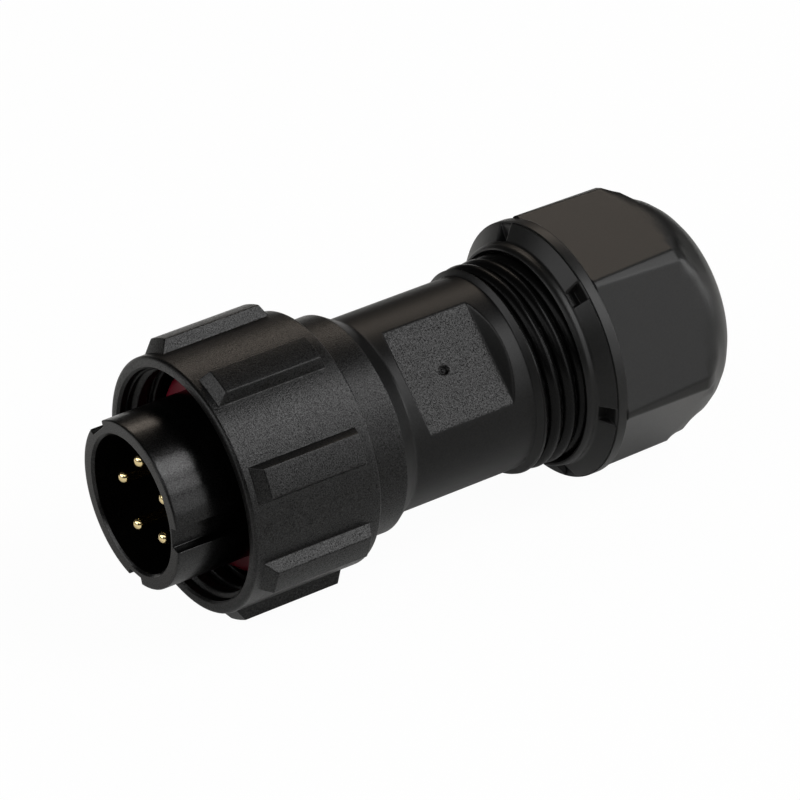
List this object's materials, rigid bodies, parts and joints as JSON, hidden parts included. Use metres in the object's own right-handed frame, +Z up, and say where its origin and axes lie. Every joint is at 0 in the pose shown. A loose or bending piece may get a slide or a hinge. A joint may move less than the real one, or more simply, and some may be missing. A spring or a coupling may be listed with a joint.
{
  "type": "waterproof circular connector",
  "caption": "Waterproof circular cable plug: keyed shroud with contact pins, red face seal, ribbed free-turning coupling nut, neck with wrench flats and a domed hexagonal cable gland nut.",
  "frame": {"origin": "on the connector's axis, in the plane of the shroud's front rim", "axes": "+X along the axis from the mating end to the cable end, +Z up as it lies on two ribs of the coupling nut and the round rim of the gland nut"},
  "size_m": [0.0758, 0.032, 0.032],
  "materials": {
    "shell_nylon": "moulded black nylon, spark-eroded grain on collar and flats, satin neck",
    "nut_nylon": "moulded black nylon with spark-eroded grain",
    "gland_nylon": "moulded black nylon, smooth satin",
    "shroud_nylon": "moulded black nylon, smooth",
    "insert_plastic": "moulded black insulator",
    "contact_gold": "gold-plated brass",
    "screw_steel": "plated steel",
    "red_silicone": "moulded red silicone",
    "seal_rubber": "black rubber"
  },
  "bodies": {
    "housing": {"plug_shell": "shroud_nylon", "contact_insert": "insert_plastic", "contact_pin_1": "contact_gold", "contact_pin_2": "contact_gold", "contact_pin_3": "contact_gold", "contact_pin_4": "contact_gold", "contact_pin_5": "contact_gold", "terminal_screws": "screw_steel", "insert_lock_ring": "shroud_nylon", "face_seal": "red_silicone", "shell_seal": "seal_rubber", "back_shell": "shell_nylon"},
    "coupling": {"coupling_nut": "nut_nylon"},
    "clamp": {"clamp_cage": "insert_plastic", "gland_seal": "seal_rubber"},
    "gland": {"gland_nut": "gland_nylon"}
  },
  "joints": [
    {"name": "coupling_spin", "type": "hinge", "parent": "housing", "child": "coupling", "pos_m": [0.0221, 0, 0], "axis": [1, 0, 0], "continuous": true},
    {"name": "gland_travel", "type": "slide", "parent": "housing", "child": "clamp", "axis": [1, 0, 0], "range_m": [-0.003, 0.004]},
    {"name": "gland_turn", "type": "hinge", "parent": "clamp", "child": "gland", "pos_m": [0.065, 0, 0], "axis": [1, 0, 0], "range_deg": [-540, 720]}
  ],
  "couplings": [
    {"joint": "gland_travel", "follows": "gland_turn", "m_per_rad": 0.0003183}
  ]
}
